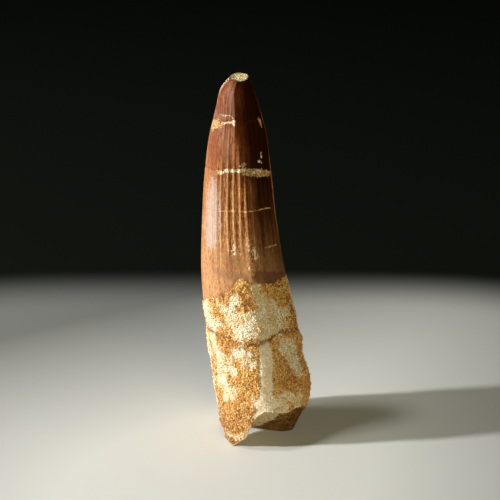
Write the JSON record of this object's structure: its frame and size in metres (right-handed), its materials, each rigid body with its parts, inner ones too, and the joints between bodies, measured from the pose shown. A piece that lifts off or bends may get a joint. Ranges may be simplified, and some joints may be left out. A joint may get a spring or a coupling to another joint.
{
  "type": "fossil tooth",
  "caption": "Tall conical fossil tooth with a fluted enamel crown, a crusted root and a slanted break, standing on the broken root.",
  "frame": {"origin": "under the middle of the tooth's bounding box, on the surface that it stands on", "axes": "+Z from the root to the tip, +X to the viewer's right with the front keel facing the viewer, +Y away from the viewer"},
  "size_m": [0.0306, 0.032, 0.1044],
  "materials": {
    "tooth": "polished brown enamel on the crown, matt cream and ochre crust on the root"
  },
  "bodies": {
    "root": {"tooth": "tooth"}
  },
  "joints": []
}
